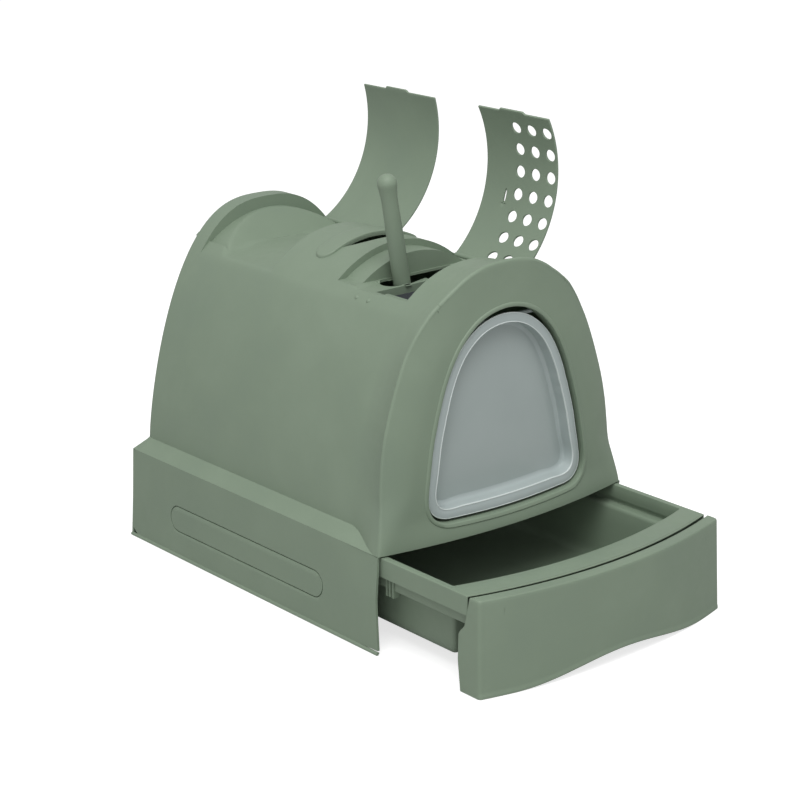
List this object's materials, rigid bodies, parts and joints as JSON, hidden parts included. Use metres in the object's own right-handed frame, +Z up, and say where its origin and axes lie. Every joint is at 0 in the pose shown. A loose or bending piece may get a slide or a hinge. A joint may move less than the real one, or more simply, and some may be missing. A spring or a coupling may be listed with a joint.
{
  "type": "drawer litter box",
  "caption": "Hooded cat litter box with a pull-out tray, curved top lids over a storage recess and a scoop slot, a clear swing door and a filter pad.",
  "frame": {"origin": "middle of the hood's foot, on the floor", "axes": "+X right seen from the front, +Y from the drawer front to the back, +Z up"},
  "size_m": [0.4066, 0.6843, 0.5646],
  "materials": {
    "hood_shell": "fine satin moulded, sage green",
    "carry_handle": "fine satin moulded, sage green",
    "base_frame": "fine satin moulded, sage green",
    "litter_tray": "fine satin moulded, sage green",
    "drawer_front": "fine satin moulded, sage green",
    "rear_lid": "fine satin moulded, sage green",
    "front_lid": "fine satin moulded, sage green",
    "scoop": "fine satin moulded, sage green",
    "swing_door": "clear smoke grey, glossy",
    "charcoal_filter": "dark carbon felt"
  },
  "bodies": {
    "hood": {"hood_shell": "hood_shell", "carry_handle": "carry_handle", "base_frame": "base_frame"},
    "drawer": {"litter_tray": "litter_tray", "drawer_front": "drawer_front"},
    "back_cover": {"rear_lid": "rear_lid"},
    "front_cover": {"front_lid": "front_lid"},
    "door": {"swing_door": "swing_door"},
    "litter_scoop": {"scoop": "scoop"},
    "filter_pad": {"charcoal_filter": "charcoal_filter"}
  },
  "joints": [
    {"name": "drawer_slide", "type": "slide", "parent": "hood", "child": "drawer", "axis": [0, 1, 0], "range_m": [0, 0.1609]},
    {"name": "rear_lid_hinge", "type": "hinge", "parent": "hood", "child": "back_cover", "pos_m": [0.092, 0.14, 0.38058], "axis": [0, -1, 0], "range_deg": [0, 112.3]},
    {"name": "front_lid_hinge", "type": "hinge", "parent": "hood", "child": "front_cover", "pos_m": [0.092, -0.108, 0.38058], "axis": [0, -1, 0], "range_deg": [0, 101.4]},
    {"name": "door_swing", "type": "hinge", "parent": "hood", "child": "door", "pos_m": [0, -0.22365, 0.3545], "axis": [-1, 0, 0], "range_deg": [-45, 40]},
    {"name": "scoop_slide", "type": "slide", "parent": "hood", "child": "litter_scoop", "axis": [0.1253, 0, -0.9921], "range_m": [0, 0.108]},
    {"name": "filter_lift", "type": "slide", "parent": "hood", "child": "filter_pad", "axis": [0, 0, -1], "range_m": [-0.05, 0]}
  ],
  "couplings": [
    {"joint": "scoop_slide", "follows": "front_lid_hinge", "m_per_rad": 0.061}
  ]
}
